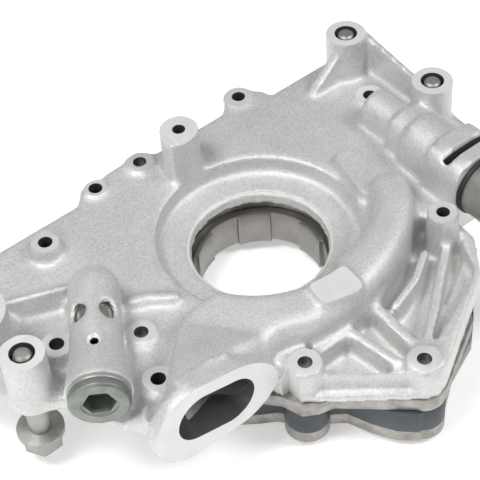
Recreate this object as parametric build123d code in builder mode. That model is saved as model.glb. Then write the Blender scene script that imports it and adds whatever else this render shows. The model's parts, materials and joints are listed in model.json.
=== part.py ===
from build123d import *
from math import asin, atan2, cos, degrees, radians, sin
import os

# Engine oil pump, driven by the crankshaft: a vane pump with a swinging slide ring.
# All lengths are in millimetres. The origin is on the crank axis, in the plane where the rear
# housing meets the pump stack. +Z points to the engine block and -Y points down to the sump.

os.makedirs("parts", exist_ok=True)

# Rear housing heights, from the joint plane
plate_top = 12.5
block_face = 31.0
recess_floor = 5.0
pocket_floor = 3.2
rib_top = 11.5
recess_r = 38.0
crank_bore_r = 25.6
bore_step_r = 27.3
bore_step = 0.8
wing_floor = 6.5

# Pump stack, from the joint plane down
port_plate_t = 6.0
body_t = 10.4
cover_t = 5.8
body_top = -port_plate_t
body_bottom = body_top - body_t
cover_bottom = body_bottom - cover_t

# Rotor, vanes and slide ring
face_gap = 0.05
drive_tip_r = 23.6
drive_root_r = 24.9
drive_teeth = 6
drive_phase = -2.6
drive_tooth_angle = 31.0
hub_r = 28.2
hub_gap = 0.15
hub_setback = 4.7
hub_drop = 3.0
rotor_r = 38.0
vane_count = 7
vane_t = 2.4
vane_length = 7.3
vane_gap = 0.03
slot_bulb_r = 1.7
slide_travel = 3.2
rotor_gap = 0.15
ring_wall = 5.0
ring_bore_r = rotor_r + slide_travel + rotor_gap
ring_r = ring_bore_r + ring_wall
chamber_gap = 0.3

# Slide ring pivot and arm
pivot_angle = 41.0
pivot_r = 47.5
pin_r = 3.0
pin_gap = 0.05
lug_r = 6.2
pin_seat = 4.0
arm_reach = 58.0
arm_width = 7.0
seal_w = 2.0
seal_d = 2.6
seal_gap = 0.05
swing = 2 * asin(slide_travel / (2 * pivot_r))
pivot_x = pivot_r * cos(radians(pivot_angle))
pivot_y = pivot_r * sin(radians(pivot_angle))
arm_angle = pivot_angle + 180

# Slide spring, drawn at the long end of its travel
spring_length = 20.0
spring_r = 4.2
wire = 1.2
spring_turns = 5

# Ports between the stack and the housing
port_inner_r = 33.0
port_outer_r = 41.0
inlet_from, inlet_to = 151.0, 291.0
outlet_from, outlet_to = -31.0, 113.0
outlet_depth = 2.6

# Mounting bolts, M8, standing loose in their bosses
bolt_places = [(83.3, 45.4), (88.7, 1.8), (-104.4, -5.0)]
bolt_boss_r = 8.0
bolt_hole_r = 4.5
bolt_r = 4.0
bolt_grip = 9.5
bolt_point_r = 3.2
bolt_point = 2.6
bolt_flange_r = 8.5
bolt_flange_t = 2.2
bolt_hex = 13.0
bolt_head = 8.5

# Stack screws, M6, and what they screw into
screw_places = [
    (2.9, -84.6), (-28.2, -59.0), (49.4, -45.1), (-62.3, -11.6), (-12.2, 57.2), (50.0, 24.0),
]
screw_r = 3.0
screw_play = 0.3
thread_gap = 0.02
screw_reach = 9.8
screw_head_r = 5.5
screw_head_t = 2.3
tapped_r = 2.5
screw_boss_r = 5.6

# Dowels between housing and stack
dowel_places = [(-47.0, 32.0), (53.0, -22.0)]
dowel_r = 3.0
dowel_half = 5.0

# Relief valve barrel: its axis starts at the plug face
relief_x, relief_y, relief_z = -94.3, -33.5, 22.0
relief_angle = 57.0
relief_barrel_r = 9.3
relief_length = 50.0
relief_bore_r = 7.0
relief_bore_end = 46.0
relief_seat_r = 4.5
plug_r = 10.6
plug_t = 3.4
plug_thread_r = 8.0
plug_thread = 10.0
plug_hex = 10.0
plug_hex_depth = 8.0
plug_mouth_r = 6.3
plug_mouth = 0.6
washer_t = 1.6
washer_r = 10.9
piston_length = 15.0
piston_gap = 0.03
piston_wall = 1.4
window_at = 35.0
window_tilt = 38.0
window_r = 2.7
vent_at = 20.6
vent_r = 1.0
plug_head_chamfer = 0.8
relief_spring_r = 4.4
relief_turns = 6

# Solenoid valve barrel, along Y
solenoid_x, solenoid_z = 72.5, 18.5
nose_end = 17.0
nose_r = 6.5
barrel_shoulder = 0.0
barrel_r = 10.0
chamber_end = -9.0
chamber_r = 12.0
block_round = 7.0
block_w = 26.0
block_back = -24.0
block_front = -41.0
block_top = 32.0
sleeve_r = 6.0
sleeve_gap = 0.03
sleeve_back = 3.0
spool_r = 3.0
spool_gap = 0.03
spool_travel = 3.0
clip_t = 2.0
clip_at = -33.0
clip_w = 21.0
clip_gap = 0.15
can_r = 11.8
can_length = 24.0
can_wall = 1.0
can_ring_t = 1.8
can_ring_r = 12.6
coil_r = 10.7
coil_hole_r = 5.3
coil_length = 19.0
plunger_r = 5.0
plunger_length = 14.0
collar_t = 1.6
spool_front = 2.0
valve_spring_r = 2.4
valve_wire = 0.8
valve_turns = 5
clip_groove_r = 4.6
clip_top = 26.5
seal_places = (-5.0, -20.0)
o_ring_r = 0.85
connector_w, connector_h, connector_l = 17.0, 13.0, 18.0
connector_wall = 1.8

# Inlet: oval flange facing down, then a passage round the crank opening
inlet_x, inlet_z = -64.0, 17.2
inlet_face = -57.0
flange_w, flange_h, flange_t = 51.0, 34.0, 5.0
slot_w, slot_h = 33.0, 13.5
passage_top = 22.8
pad_top = 24.5
passage_wall = 3.2
passage_round = 6.5
passage_stations = [
    ((-44.5, -34.5), 37.0, 18.5), ((-20.0, -41.5), 2.0, 12.0), ((-1.5, -44.3), -1.5, 10.3),
    ((13.3, -42.6), 12.5, 9.2), ((26.2, -38.3), 27.0, 8.3), ((37.8, -31.1), 42.0, 7.8),
    ((46.6, -20.5), 56.0, 7.5),
]

# Outlet to the block
outlet_x, outlet_y = -109.0, 23.0
outlet_boss_r = 14.0
outlet_port_r = 8.0
gallery_r = 3.6
gallery_z = 6.3
gallery_start = (-26.0, 46.0)
feed_r = 3.0
feed_end = (-66.0, 35.0)

# Control oil hole, from the slide ring's chamber up to the solenoid valve
control_port = (48.5, -8.0)
control_pocket_r = 2.5
control_r = 1.5
control_z = 8.0


def disc(x, y, radius, height):
    """A round face at a height."""
    with BuildSketch(Plane.XY.offset(height)) as face:
        with Locations((x, y)):
            Circle(radius)
    return face.sketch


def bar(start, end, width, height):
    """A face round both ends, from start to end, at a height."""
    run = ((end[0] - start[0]) ** 2 + (end[1] - start[1]) ** 2) ** 0.5
    middle = ((start[0] + end[0]) / 2, (start[1] + end[1]) / 2)
    turn = degrees(atan2(end[1] - start[1], end[0] - start[0]))
    with BuildSketch(Plane.XY.offset(height)) as face:
        with Locations(Location((middle[0], middle[1], 0), (0, 0, turn))):
            SlotCenterToCenter(run, width)
    return face.sketch


def outline(points, height):
    """A straight-sided face at a height."""
    with BuildSketch(Plane.XY.offset(height)) as face:
        with BuildLine():
            Polyline(*points, close=True)
        make_face()
    return face.sketch


def kidney(inner, outer, start, end, height):
    """A curved port: an arc-shaped face between two radii and two angles."""
    middle = (inner + outer) / 2
    with BuildSketch(Plane.XY.offset(height)) as face:
        SlotArc(CenterArc((0, 0), middle, start, end - start, mode=Mode.PRIVATE), outer - inner)
    return face.sketch


def drill(start, end, radius, height):
    """A round hole along a level line, cut from the part being built."""
    run = ((end[0] - start[0]) ** 2 + (end[1] - start[1]) ** 2) ** 0.5
    way = ((end[0] - start[0]) / run, (end[1] - start[1]) / run, 0)
    with BuildSketch(Plane(origin=(*start, height), x_dir=(0, 0, 1), z_dir=way)) as face:
        Circle(radius)
    extrude(face.sketch, amount=run, mode=Mode.SUBTRACT)


# Rear housing

housing_points = [
    (-97, 55.5), (-120, 35), (-123, 23), (-119, 10), (-112.4, -4), (-107, -12.6), (-98, -17),
    (-89, -37), (-84, -46), (-76, -49), (-40, -50), (-34.5, -64), (-33, -64.8), (-1.9, -90.4),
    (7, -91.5), (46, -68.3), (59, -51), (60.5, -41), (86, -41), (92, -36), (95.5, -20), (96.9, 2),
    (91.3, 46), (83, 54), (51.5, 54), (50, 58.5), (46, 63), (35, 63), (29, 58.5), (-3, 58.5),
    (-10, 63.5), (-38, 61), (-43, 55.5),
]
low_field = [
    (-30.5, -60.5), (-2.0, -84.0), (8, -84.5), (46, -61.5), (54, -49), (49, -34), (30, -46),
    (10, -55), (-8, -55), (-24, -51.5),
]
small_bosses = [
    (-62.5, 48.2, 5.7, 13.4), (-32.9, 57.7, 4.8, 13.2), (40.0, 61.4, 6.3, 13.2),
    (79.0, 26.5, 6.0, 13.4), (-70.1, -31.9, 5.8, 14.0), (-88.9, 0.6, 6.2, 18.0),
]
pad_points = [(-11, -40), (0, -38.5), (4.5, -41.5), (4, -52), (-8, -52.5), (-12, -49)]
left_ribs = [
    ((-93, 31), (-70, 21.5), 3.4, 16.5), ((-57, 2), (-51, -0.5), 4.2, 15.5),
    ((-51, -0.5), (-44, -6.5), 4.2, 15.5),
]
left_pocket = [(-91, 26.5), (-73, 19), (-78.5, 8), (-86, 8.5), (-93, 14.5), (-95, 20.5)]
left_pocket_floor = 9.2
field_ribs = [
    ((-6.5, -56), (-3, -81), 4.3), ((7.6, -56), (6, -80), 4.3), ((-23, -57), (-9, -57), 3.6),
    ((7, -81), (46, -51), 3.6), ((7, -84), (50, -58), 3.2), ((38, -48), (27, -55), 3.2),
    ((27, -55), (13, -59.5), 3.2), ((-28, -66.5), (0, -88), 3.2),
]

valve_dir = (cos(radians(relief_angle)), sin(radians(relief_angle)), 0)
valve_side = (sin(radians(relief_angle)), -cos(radians(relief_angle)), 0)
relief_plane = Plane(origin=(relief_x, relief_y, relief_z), x_dir=valve_side, z_dir=valve_dir)
relief_end = (
    relief_x + valve_dir[0] * relief_length,
    relief_y + valve_dir[1] * relief_length,
    relief_z,
)
relief_foot = (relief_x + valve_dir[0] * 12, relief_y + valve_dir[1] * 12)
solenoid_plane = Plane(
    origin=(solenoid_x, nose_end, solenoid_z), x_dir=(1, 0, 0), z_dir=(0, -1, 0)
)


def solenoid_offset(y):
    """The solenoid valve's cross-section plane at a Y place, facing down the barrel."""
    return solenoid_plane.offset(nose_end - y)


def across(at, heading):
    """A vertical plane at a place, facing along a heading, with local Y down."""
    turn = radians(heading)
    return Plane(origin=(*at, 0), x_dir=(sin(turn), -cos(turn), 0), z_dir=(cos(turn), sin(turn), 0))


def passage_face(at, heading, half, inset):
    """The inlet passage's section at a place: flat below, rounded at its upper corners."""
    with BuildSketch(across(at, heading)) as face:
        with Locations((0, -passage_top / 2)):
            Rectangle(2 * (half - inset), passage_top - 2 * inset)
        fillet(face.vertices().sort_by(Axis.Y)[:2], passage_round - inset)
    return face.sketch


def flange_face(width, height, y):
    """An oval face at the inlet, at a Y place, facing into the housing."""
    with BuildSketch(Plane(origin=(inlet_x, y, inlet_z), x_dir=(1, 0, 0), z_dir=(0, 1, 0))) as face:
        SlotOverall(width, height)
    return face.sketch


passage_end, _, passage_end_r = passage_stations[-1]
with BuildPart() as passage_cap:
    Cylinder(passage_end_r, passage_top, align=(Align.CENTER, Align.CENTER, Align.MIN))
    fillet(passage_cap.faces().sort_by(Axis.Z)[-1].edges(), passage_round)

with BuildPart() as rear_housing:
    extrude(outline(housing_points, 0), amount=plate_top)
    for x, y in bolt_places:
        extrude(disc(x, y, bolt_boss_r + 0.5, 0), amount=plate_top)
        extrude(disc(x, y, bolt_boss_r, 0), amount=block_face)
    for x, y in screw_places[:2]:
        extrude(disc(x, y, bolt_boss_r - 0.4, 0), amount=plate_top - 2)
    # the field of ribs below the passage is thinner than the plate
    extrude(outline(low_field, pocket_floor), amount=plate_top, mode=Mode.SUBTRACT)
    for start, end, width in field_ribs:
        extrude(bar(start, end, width, 0), amount=rib_top)
    for x, y in screw_places[:2]:
        extrude(disc(x, y, screw_boss_r, 0), amount=plate_top)
    # recess round the crank, then the inlet passage that stands in it
    extrude(disc(0, 0, recess_r, recess_floor), amount=block_face, mode=Mode.SUBTRACT)
    loft([passage_face(*station, 0) for station in passage_stations])
    with Locations((*passage_end, 0)):
        add(passage_cap.part)
    loft(
        [
            flange_face(flange_w - 5, flange_h - 5, inlet_face + flange_t),
            passage_face(*passage_stations[0], 0),
        ]
    )
    # control passage beside the end of the inlet passage
    extrude(bar((47.5, 3), (43.5, -13), 11.0, 0), amount=plate_top + 3.5)
    # machined pad on the passage
    extrude(outline(pad_points, 10), amount=pad_top - 10)
    # inlet flange
    extrude(flange_face(flange_w, flange_h, inlet_face), amount=flange_t)
    # relief valve barrel with its round end and its foot on the plate
    with BuildSketch(relief_plane.offset(plug_t + washer_t)):
        Circle(relief_barrel_r)
    extrude(amount=relief_length - plug_t - washer_t)
    with BuildSketch(relief_plane.offset(plug_t + washer_t)):
        Circle(washer_r + 0.8)
    extrude(amount=16, taper=8)
    with Locations(relief_end):
        Sphere(relief_barrel_r)
    extrude(bar(relief_foot, relief_end[:2], 2 * relief_barrel_r - 3, 0), amount=relief_z)
    # solenoid valve barrel: nose, barrel and clip block
    with BuildSketch(solenoid_plane):
        Circle(nose_r)
    extrude(amount=nose_end - barrel_shoulder + 1)
    with BuildSketch(solenoid_offset(barrel_shoulder)):
        Circle(barrel_r)
    extrude(amount=barrel_shoulder - block_back + 1)
    with BuildSketch(solenoid_offset(chamber_end)):
        Circle(chamber_r)
    extrude(amount=chamber_end - block_back + 1)
    with BuildSketch(Plane.XY):
        with Locations((solenoid_x, (nose_end + block_back) / 2)):
            Rectangle(2 * nose_r, nose_end - block_back)
    extrude(amount=solenoid_z)
    with BuildSketch(Plane.XZ.offset(-block_back)) as block_face_shape:
        with Locations((solenoid_x, block_top / 2)):
            Rectangle(block_w, block_top)
        fillet(block_face_shape.vertices().sort_by(Axis.Y)[-2:], block_round)
    extrude(amount=block_back - block_front)
    # post above the crank, with its wedge down to the recess wall
    extrude(outline([(-7.2, 47), (-8.5, 40), (-4, 37.5), (2, 38.5), (7.4, 45)], 0), amount=block_face)
    extrude(disc(0, 46, 7.5, 0), amount=block_face)
    # outlet boss to the block
    extrude(disc(outlet_x, outlet_y, outlet_boss_r, 0), amount=block_face)
    # wall and gussets at the right-hand bolt bosses
    with BuildSketch(Plane.XZ.offset(-45)) as gusset:
        with BuildLine():
            Polyline((83, 0), (83, 28), (76, 26), (61, plate_top), (61, 0), close=True)
        make_face()
    extrude(amount=4)
    with BuildSketch(Plane(origin=(89.5, 0, 0), x_dir=(0, 1, 0), z_dir=(1, 0, 0))):
        with BuildLine():
            Polyline((2, 0), (2, 22), (44, 29), (44, 0), close=True)
        make_face()
    extrude(amount=3.4, both=False)
    for x, y, radius, top in small_bosses:
        extrude(disc(x, y, radius, 0), amount=top)
    extrude(disc(*screw_places[3], screw_boss_r, 0), amount=14)
    extrude(disc(*screw_places[4], screw_boss_r, 0), amount=14)
    extrude(disc(*screw_places[2], 5.9, 0), amount=22)
    extrude(disc(-81.0, -42.5, 3.9, 0), amount=15)
    extrude(outline(left_pocket, left_pocket_floor), amount=plate_top, mode=Mode.SUBTRACT)
    for start, end, width, top in left_ribs:
        extrude(bar(start, end, width, 0), amount=top)
    # the left wing is thin: its underside is raised, with the outlet gallery standing below it
    extrude(
        outline([(-130, -50.5), (-77, -50.5), (-77, 70), (-130, 70)], -1),
        amount=1 + wing_floor,
        mode=Mode.SUBTRACT,
    )
    gallery_floor = gallery_z - gallery_r - 2.2
    extrude(bar(gallery_start, (outlet_x, outlet_y), 2 * gallery_r + 5, gallery_floor), amount=9)
    extrude(disc(outlet_x, outlet_y, outlet_boss_r - 1, gallery_floor), amount=9)
    extrude(disc(0, 0, crank_bore_r, -1), amount=block_face, mode=Mode.SUBTRACT)
    extrude(disc(0, 0, bore_step_r, recess_floor - bore_step), amount=2 * bore_step, mode=Mode.SUBTRACT)
    # flow passage inside the inlet
    loft([passage_face(*station, passage_wall) for station in passage_stations], mode=Mode.SUBTRACT)
    loft(
        [
            flange_face(slot_w, slot_h, inlet_face + flange_t),
            passage_face(*passage_stations[0], passage_wall),
        ],
        mode=Mode.SUBTRACT,
    )
    extrude(flange_face(slot_w, slot_h, inlet_face), amount=flange_t + 0.5, mode=Mode.SUBTRACT)
    extrude(
        kidney(port_inner_r, port_outer_r, 236, inlet_to, -1),
        amount=1 + passage_wall + 0.4,
        mode=Mode.SUBTRACT,
    )
    # outlet groove in the joint face, gallery to the outlet port, and the relief valve's feed
    extrude(
        kidney(port_inner_r, port_outer_r, outlet_from, outlet_to, -1),
        amount=1 + outlet_depth,
        mode=Mode.SUBTRACT,
    )
    groove_start = (
        (port_inner_r + port_outer_r) / 2 * cos(radians(outlet_to)),
        (port_inner_r + port_outer_r) / 2 * sin(radians(outlet_to)),
    )
    extrude(bar(groove_start, gallery_start, 8, -1), amount=1 + outlet_depth, mode=Mode.SUBTRACT)
    extrude(
        disc(*gallery_start, gallery_r + 0.6, 0), amount=gallery_z + gallery_r - 0.4, mode=Mode.SUBTRACT
    )
    drill(gallery_start, (outlet_x, outlet_y), gallery_r, gallery_z)
    drill(relief_end[:2], feed_end, feed_r, gallery_z)
    extrude(
        disc(*relief_end[:2], feed_r + 0.5, gallery_z - 2),
        amount=relief_z - gallery_z + 2,
        mode=Mode.SUBTRACT,
    )
    extrude(
        disc(outlet_x, outlet_y, outlet_port_r, gallery_z - gallery_r - 0.7),
        amount=block_face,
        mode=Mode.SUBTRACT,
    )
    # control oil from the slide ring's chamber to the solenoid valve
    extrude(disc(*control_port, control_r + 0.3, -1), amount=control_z + 2, mode=Mode.SUBTRACT)
    drill(control_port, (solenoid_x, control_port[1]), control_r, control_z)
    extrude(
        disc(solenoid_x, control_port[1], control_r + 0.3, control_z - 1),
        amount=solenoid_z - control_z,
        mode=Mode.SUBTRACT,
    )
    # bolt, screw and boss holes
    for x, y in bolt_places:
        extrude(disc(x, y, bolt_hole_r, -1), amount=block_face + 2, mode=Mode.SUBTRACT)
    for x, y in screw_places:
        extrude(disc(x, y, screw_r + thread_gap, -1), amount=screw_reach + 1.4, mode=Mode.SUBTRACT)
    for x, y in screw_places[:5]:
        extrude(disc(x, y, tapped_r, 0), amount=block_face, mode=Mode.SUBTRACT)
    for x, y, radius, top in small_bosses:
        extrude(disc(x, y, tapped_r + 0.2, 2), amount=block_face, mode=Mode.SUBTRACT)
    extrude(disc(0, 46, tapped_r, 12), amount=block_face, mode=Mode.SUBTRACT)
    for x, y in dowel_places:
        extrude(disc(x, y, dowel_r + thread_gap, -1), amount=1 + dowel_half + 0.5, mode=Mode.SUBTRACT)
    # relief valve bore, plug seat, windows and vent
    with BuildSketch(relief_plane):
        Circle(relief_bore_r)
    extrude(amount=relief_bore_end, mode=Mode.SUBTRACT)
    with BuildSketch(relief_plane):
        Circle(relief_seat_r)
    extrude(amount=relief_length, mode=Mode.SUBTRACT)
    with BuildSketch(relief_plane.offset(-10)):
        Circle(washer_r + 2.5)
    extrude(amount=10 + plug_t + washer_t, mode=Mode.SUBTRACT)
    with BuildSketch(relief_plane):
        Circle(plug_thread_r + thread_gap)
    extrude(amount=plug_t + washer_t + plug_thread + 1, mode=Mode.SUBTRACT)
    for tilt in (-window_tilt, window_tilt):
        lean = radians(tilt)
        out_dir = (valve_side[0] * sin(lean), valve_side[1] * sin(lean), cos(lean))
        at = (relief_x + valve_dir[0] * window_at, relief_y + valve_dir[1] * window_at, relief_z)
        with BuildSketch(Plane(origin=at, x_dir=valve_dir, z_dir=out_dir)):
            SlotOverall(2 * window_r + 1.4, 2 * window_r)
        extrude(amount=20, mode=Mode.SUBTRACT)
    vent = (relief_x + valve_dir[0] * vent_at, relief_y + valve_dir[1] * vent_at)
    extrude(disc(*vent, vent_r, relief_z), amount=20, mode=Mode.SUBTRACT)
    # solenoid bores and clip slot
    with BuildSketch(solenoid_offset(sleeve_back + 1)):
        Circle(sleeve_r + sleeve_gap)
    extrude(amount=sleeve_back + 1 - block_front + 1, mode=Mode.SUBTRACT)
    with BuildSketch(solenoid_offset(nose_end - 3)):
        Circle(spool_r + 0.6)
    extrude(amount=nose_end, mode=Mode.SUBTRACT)
    with BuildSketch(Plane.XZ.offset(-clip_at - clip_t / 2 - clip_gap)):
        with Locations((solenoid_x, block_top)):
            Rectangle(clip_w + 0.4, 2 * (block_top - solenoid_z + 3), align=(Align.CENTER, Align.CENTER))
    extrude(amount=clip_t + 2 * clip_gap, mode=Mode.SUBTRACT)

rear_housing.part.label = "rear_housing"
export_step(rear_housing.part, "parts/rear_housing.step")


# Pump stack: port plate, body and cover

port_points = [
    (-66, -20), (-60, -31), (-50, -43), (-42, -51.5), (-37.5, -57), (-35, -65), (-30, -68), (-24.5, -69.5),
    (-2, -90.5), (3, -92), (7, -91.8), (35.3, -76), (39.5, -70.8), (53.3, -60.5), (61, -52), (60, -38),
    (57, -10), (58, 24), (50, 32), (20, 52), (-8, 64), (-17, 63), (-40, 42), (-54, 34), (-55, 20),
    (-70, -8),
]
body_points = [
    (-65, -20), (-59, -30), (-50, -41), (-41.5, -47.5), (-35.5, -51.5), (-30, -59), (-22, -64.5),
    (-17.5, -68), (-14, -77), (-9.5, -85), (-4, -90.5), (6.5, -91), (22, -80), (39, -73), (49, -63),
    (58, -52), (57.5, -38), (55, -10), (57, 24), (49, 32), (20, 51), (-9, 64), (-16, 63), (-38, 41),
    (-53, 34), (-54, 20), (-69, -8),
]
stack_r = 53.0
lobe_r = 8.1
edge_round = 2.0
pin_at = (pivot_x, pivot_y)


def stack_face(points, height):
    """The outline of a stack plate: the ring's round, the lobes at the screws and the edge between."""
    with BuildSketch(Plane.XY.offset(height)) as face:
        with BuildLine():
            Polyline(*points, close=True)
        make_face()
        fillet(face.vertices(), edge_round)
        Circle(stack_r)
        with Locations(*screw_places):
            Circle(lobe_r)
    return face.sketch


with BuildPart() as port_plate:
    extrude(stack_face(port_points, body_top), amount=port_plate_t)
    extrude(disc(0, 0, hub_r + hub_gap, body_top), amount=port_plate_t, mode=Mode.SUBTRACT)
    for start, end in ((inlet_from, inlet_to), (outlet_from, outlet_to)):
        extrude(
            kidney(port_inner_r, port_outer_r, start, end, body_top),
            amount=port_plate_t,
            mode=Mode.SUBTRACT,
        )
    for x, y in screw_places:
        extrude(disc(x, y, screw_r + screw_play, body_top), amount=port_plate_t, mode=Mode.SUBTRACT)
    for x, y in dowel_places:
        extrude(disc(x, y, dowel_r + thread_gap, body_top), amount=port_plate_t, mode=Mode.SUBTRACT)
    extrude(disc(*pin_at, pin_r + thread_gap, body_top), amount=pin_seat + 0.2, mode=Mode.SUBTRACT)
    extrude(disc(*control_port, control_r, body_top), amount=port_plate_t, mode=Mode.SUBTRACT)
    chamfer(port_plate.faces().sort_by(Axis.Z)[0].outer_wire().edges(), 0.5)

port_plate.part.label = "port_plate"
export_step(port_plate.part, "parts/port_plate.step")

# the arm swings in a sector cut round the pivot, with the spring's pocket beside it
arm_tip_r = pivot_r + arm_reach + chamber_gap
arm_rest = arm_angle + degrees(swing)
arm_side = degrees((arm_width / 2 + chamber_gap + 0.2) / (pivot_r + ring_r))
arm_pocket_r = pivot_r + ring_r - 10


def from_pivot(distance, angle):
    """A place at a distance and an angle from the pivot pin."""
    turn = radians(angle)
    return (pivot_x + distance * cos(turn), pivot_y + distance * sin(turn))


ring_rest = from_pivot(pivot_r, arm_rest)
spring_seat_r = pivot_r + ring_r + spring_r + wire / 2 + 1.6
spring_start = from_pivot(spring_seat_r, arm_rest)
spring_turn = radians(arm_rest - 90)
spring_dir = (cos(spring_turn), sin(spring_turn))
spring_pocket = arm_width / 2 + spring_length + 0.1

with BuildPart() as pump_body:
    extrude(stack_face(body_points, body_bottom), amount=body_t)
    # room for the ring from one end of its swing to the other
    extrude(
        bar((0, 0), ring_rest, 2 * (ring_r + chamber_gap), body_bottom),
        amount=body_t,
        mode=Mode.SUBTRACT,
    )
    extrude(disc(*pin_at, lug_r + chamber_gap, body_bottom), amount=body_t, mode=Mode.SUBTRACT)
    with BuildSketch(Plane.XY.offset(body_bottom)):
        with BuildLine():
            tip = CenterArc(pin_at, arm_tip_r, arm_angle - arm_side, degrees(swing) + 2 * arm_side)
            Polyline(
                tip @ 1,
                from_pivot(arm_pocket_r, arm_rest + arm_side),
                from_pivot(arm_pocket_r, arm_angle - arm_side),
                tip @ 0,
            )
        make_face()
    extrude(amount=body_t, mode=Mode.SUBTRACT)
    with BuildSketch(
        Plane(origin=(*spring_start, body_bottom), x_dir=(*spring_dir, 0), z_dir=(0, 0, 1))
    ):
        Rectangle(spring_pocket, 2 * spring_r + wire + 0.8, align=(Align.MIN, Align.CENTER))
    extrude(amount=body_t, mode=Mode.SUBTRACT)
    extrude(
        disc(*control_port, control_pocket_r, body_bottom), amount=body_t, mode=Mode.SUBTRACT
    )
    for x, y in screw_places:
        extrude(disc(x, y, screw_r + screw_play, body_bottom), amount=body_t, mode=Mode.SUBTRACT)

pump_body.part.label = "pump_body"
export_step(pump_body.part, "parts/pump_body.step")

with BuildPart() as cover_plate:
    extrude(stack_face(body_points, cover_bottom), amount=cover_t)
    extrude(disc(0, 0, hub_r + hub_gap, cover_bottom), amount=cover_t, mode=Mode.SUBTRACT)
    for x, y in screw_places:
        extrude(disc(x, y, screw_r + screw_play, cover_bottom), amount=cover_t, mode=Mode.SUBTRACT)
    extrude(
        disc(*pin_at, pin_r + thread_gap, body_bottom), amount=-pin_seat - 0.2, mode=Mode.SUBTRACT
    )
    chamfer(cover_plate.faces().sort_by(Axis.Z)[0].outer_wire().edges(), 0.5)

cover_plate.part.label = "cover_plate"
export_step(cover_plate.part, "parts/cover_plate.step")


# Rotor with its crank drive, and the vanes, drawn pushed in to the rotor's edge

rotor_bottom = body_bottom + face_gap
vane_height = body_t - 2 * face_gap
hub_bottom = rotor_bottom - hub_drop
slot_end_r = rotor_r - vane_length - 0.1
first_vane = arm_angle + 90 + degrees(swing) / 2
vane_angles = [first_vane + turn * 360 / vane_count for turn in range(vane_count)]


def drive_tooth(angle, height):
    """One flat tooth of the crank drive, between its tip radius and just inside its root."""
    half = drive_tooth_angle / 2
    with BuildSketch(Plane.XY.offset(height)) as face:
        with BuildLine():
            inner = CenterArc((0, 0), drive_tip_r, angle - half, drive_tooth_angle)
            outer = CenterArc((0, 0), drive_root_r + 0.6, angle - half, drive_tooth_angle)
            Line(inner @ 0, outer @ 0)
            Line(inner @ 1, outer @ 1)
        make_face()
    return face.sketch


with BuildPart() as drive_rotor:
    extrude(disc(0, 0, rotor_r, rotor_bottom), amount=vane_height)
    extrude(disc(0, 0, hub_r, hub_bottom), amount=-hub_bottom - hub_setback)
    extrude(disc(0, 0, drive_root_r, hub_bottom), amount=-hub_bottom, mode=Mode.SUBTRACT)
    for tooth in range(drive_teeth):
        extrude(
            drive_tooth(drive_phase + tooth * 360 / drive_teeth, hub_bottom),
            amount=-hub_bottom - hub_setback,
        )
    with BuildSketch(Plane.XY.offset(rotor_bottom)):
        for angle in vane_angles:
            with PolarLocations(0, 1, start_angle=angle):
                with Locations((slot_end_r, 0)):
                    Circle(slot_bulb_r)
                    Rectangle(
                        rotor_r - slot_end_r + 2,
                        vane_t + 2 * vane_gap,
                        align=(Align.MIN, Align.CENTER),
                    )
    extrude(amount=vane_height, mode=Mode.SUBTRACT)

drive_rotor.part.label = "drive_rotor"
export_step(drive_rotor.part, "parts/drive_rotor.step")

for number, angle in enumerate(vane_angles):
    turn = radians(angle)
    with BuildPart() as vane:
        with BuildSketch(
            Plane(origin=(0, 0, rotor_bottom), x_dir=(cos(turn), sin(turn), 0), z_dir=(0, 0, 1))
        ):
            with BuildLine():
                tip_side = rotor_r - 0.35
                ThreePointArc((tip_side, -vane_t / 2), (rotor_r, 0), (tip_side, vane_t / 2))
                Polyline(
                    (tip_side, vane_t / 2),
                    (rotor_r - vane_length, vane_t / 2),
                    (rotor_r - vane_length, -vane_t / 2),
                    (tip_side, -vane_t / 2),
                )
            make_face()
        extrude(amount=vane_height)
    vane.part.label = "vane_" + str(number + 1)
    export_step(vane.part, "parts/vane_" + str(number + 1) + ".step")


# Slide ring with its lug and arm, drawn at full displacement

ring_plane = Plane(
    origin=(pivot_x, pivot_y, rotor_bottom),
    x_dir=(cos(radians(arm_rest)), sin(radians(arm_rest)), 0),
    z_dir=(0, 0, 1),
)

with BuildPart() as slide_ring:
    with BuildSketch(ring_plane):
        with Locations((pivot_r, 0)):
            Circle(ring_r)
        Circle(lug_r)
        with Locations((pivot_r + ring_r - 2, 0)):
            Rectangle(arm_reach - ring_r + 2, arm_width, align=(Align.MIN, Align.CENTER))
        with Locations((pivot_r, 0)):
            Circle(ring_bore_r, mode=Mode.SUBTRACT)
        Circle(pin_r + pin_gap, mode=Mode.SUBTRACT)
        with Locations((pivot_r + arm_reach - seal_d, 0)):
            Rectangle(
                seal_d + 1, seal_w + 2 * seal_gap, align=(Align.MIN, Align.CENTER), mode=Mode.SUBTRACT
            )
    extrude(amount=vane_height)

slide_ring.part.label = "slide_ring"
export_step(slide_ring.part, "parts/slide_ring.step")

with BuildPart() as slide_seal:
    with BuildSketch(ring_plane):
        with Locations((pivot_r + arm_reach - seal_d + seal_gap, 0)):
            Rectangle(seal_d + chamber_gap - 2 * seal_gap - 0.05, seal_w, align=(Align.MIN, Align.CENTER))
    extrude(amount=vane_height)

slide_seal.part.label = "slide_seal"
export_step(slide_seal.part, "parts/slide_seal.step")

with BuildPart() as pivot_pin:
    extrude(disc(*pin_at, pin_r, body_bottom - pin_seat), amount=body_t + 2 * pin_seat)
    chamfer(pivot_pin.faces().sort_by(Axis.Z)[0].edges(), 0.4)
    chamfer(pivot_pin.faces().sort_by(Axis.Z)[-1].edges(), 0.4)

pivot_pin.part.label = "slide_pivot_pin"
export_step(pivot_pin.part, "parts/slide_pivot_pin.step")


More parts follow.
